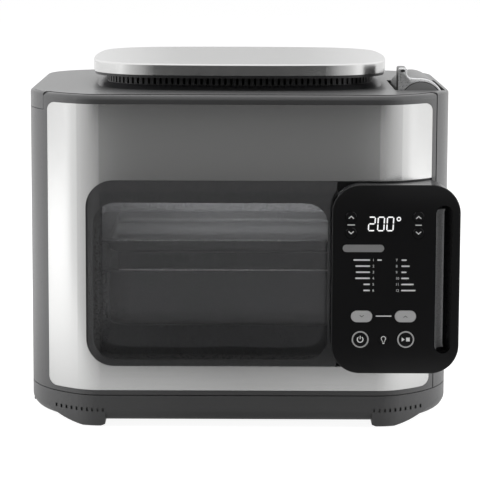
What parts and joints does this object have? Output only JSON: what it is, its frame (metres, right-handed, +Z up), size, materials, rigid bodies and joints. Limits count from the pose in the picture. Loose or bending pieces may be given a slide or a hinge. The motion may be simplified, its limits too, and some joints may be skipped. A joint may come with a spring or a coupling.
{
  "type": "countertop convection oven",
  "caption": "Countertop convection oven with a side-hinged steel and glass door, control panel with grip slot, raised vent cap and top vent lever.",
  "frame": {"origin": "on the surface that the oven stands on, under the middle of the body", "axes": "+X to the right seen from the front, +Y from the door to the back, +Z up"},
  "size_m": [0.4251, 0.3803, 0.356],
  "materials": {
    "grey_moulding": "satin grey moulding",
    "dark_moulding": "dark moulding",
    "white_plastic": "plain bearing plastic",
    "gloss_panel": "gloss black",
    "brushed_steel": "fine brushed",
    "tinted_glass": "dark tint, polished",
    "clear_glass": "clear, polished",
    "cavity_sheet": "dark coated sheet",
    "dark_plate": "satin coat",
    "plain_sheet": "plain steel",
    "heater_tube": "oxidised steel tube",
    "motor_iron": "coated iron",
    "magnet": "ferrite",
    "dark_enamel": "dark non-stick coat",
    "mineral_wool": "pressed mineral wool",
    "black_rubber": "matte rubber",
    "seal_rubber": "soft silicone"
  },
  "bodies": {
    "root": {"base_tray": "grey_moulding", "foot_pads": "black_rubber", "outer_housing": "grey_moulding", "back_panel": "dark_plate", "cord_gland": "dark_moulding", "vent_ring": "dark_moulding", "steel_cap": "brushed_steel", "front_frame": "dark_plate", "oven_liner": "cavity_sheet", "insulation_wrap": "mineral_wool", "lower_reflector": "cavity_sheet", "lower_element": "heater_tube", "upper_element": "heater_tube", "fan_guard": "cavity_sheet", "motor_bracket": "plain_sheet", "fan_motor": "motor_iron", "cooking_pan": "dark_enamel", "bake_tray": "dark_enamel", "lamp_lens": "clear_glass", "lamp_holder": "cavity_sheet", "temperature_probe": "plain_sheet", "power_board": "dark_moulding", "latch_magnet": "magnet", "hinge_pin_bottom": "plain_sheet", "hinge_pin_top": "plain_sheet", "hinge_washer": "white_plastic", "lever_bracket": "plain_sheet", "lever_pin": "plain_sheet", "back_screws": "plain_sheet"},
    "door": {"door_frame": "grey_moulding", "steel_skin": "brushed_steel", "outer_glass": "tinted_glass", "door_liner": "cavity_sheet", "inner_glass": "clear_glass", "door_gasket": "seal_rubber", "latch_keeper": "plain_sheet", "door_screws": "plain_sheet", "control_housing": "dark_moulding", "control_panel": "gloss_panel", "control_board": "dark_moulding", "display_module": "gloss_panel"},
    "fan_rotor": {"convection_fan": "cavity_sheet", "motor_shaft": "plain_sheet", "cooling_fan": "plain_sheet"},
    "vent_lever": {"vent_lever": "grey_moulding"},
    "power_button": {"power_button": "gloss_panel"},
    "light_button": {"light_button": "gloss_panel"},
    "start_button": {"start_button": "gloss_panel"},
    "function_down_button": {"function_down_button": "gloss_panel"},
    "function_up_button": {"function_up_button": "gloss_panel"},
    "temp_up_button": {"temp_up_button": "gloss_panel"},
    "temp_down_button": {"temp_down_button": "gloss_panel"},
    "time_up_button": {"time_up_button": "gloss_panel"},
    "time_down_button": {"time_down_button": "gloss_panel"}
  },
  "joints": [
    {"name": "door_swing", "type": "hinge", "parent": "root", "child": "door", "pos_m": [-0.205, -0.081, 0.18], "axis": [0, 0, -1], "range_deg": [0, 105]},
    {"name": "fan_spin", "type": "hinge", "parent": "root", "child": "fan_rotor", "pos_m": [0, 0.005, 0.28], "axis": [0, 0, 1], "continuous": true},
    {"name": "lever_turn", "type": "hinge", "parent": "root", "child": "vent_lever", "pos_m": [0.1805, -0.034, 0.3173], "axis": [0, 1, 0], "range_deg": [0, 56]},
    {"name": "power_press", "type": "slide", "parent": "door", "child": "power_button", "axis": [0, 1, 0], "range_m": [0, 0.0012], "stiffness_N_per_m": 400},
    {"name": "light_press", "type": "slide", "parent": "door", "child": "light_button", "axis": [0, 1, 0], "range_m": [0, 0.0012], "stiffness_N_per_m": 400},
    {"name": "start_press", "type": "slide", "parent": "door", "child": "start_button", "axis": [0, 1, 0], "range_m": [0, 0.0012], "stiffness_N_per_m": 400},
    {"name": "function_down_press", "type": "slide", "parent": "door", "child": "function_down_button", "axis": [0, 1, 0], "range_m": [0, 0.0012], "stiffness_N_per_m": 400},
    {"name": "function_up_press", "type": "slide", "parent": "door", "child": "function_up_button", "axis": [0, 1, 0], "range_m": [0, 0.0012], "stiffness_N_per_m": 400},
    {"name": "temp_up_press", "type": "slide", "parent": "door", "child": "temp_up_button", "axis": [0, 1, 0], "range_m": [0, 0.0012], "stiffness_N_per_m": 400},
    {"name": "temp_down_press", "type": "slide", "parent": "door", "child": "temp_down_button", "axis": [0, 1, 0], "range_m": [0, 0.0012], "stiffness_N_per_m": 400},
    {"name": "time_up_press", "type": "slide", "parent": "door", "child": "time_up_button", "axis": [0, 1, 0], "range_m": [0, 0.0012], "stiffness_N_per_m": 400},
    {"name": "time_down_press", "type": "slide", "parent": "door", "child": "time_down_button", "axis": [0, 1, 0], "range_m": [0, 0.0012], "stiffness_N_per_m": 400}
  ]
}
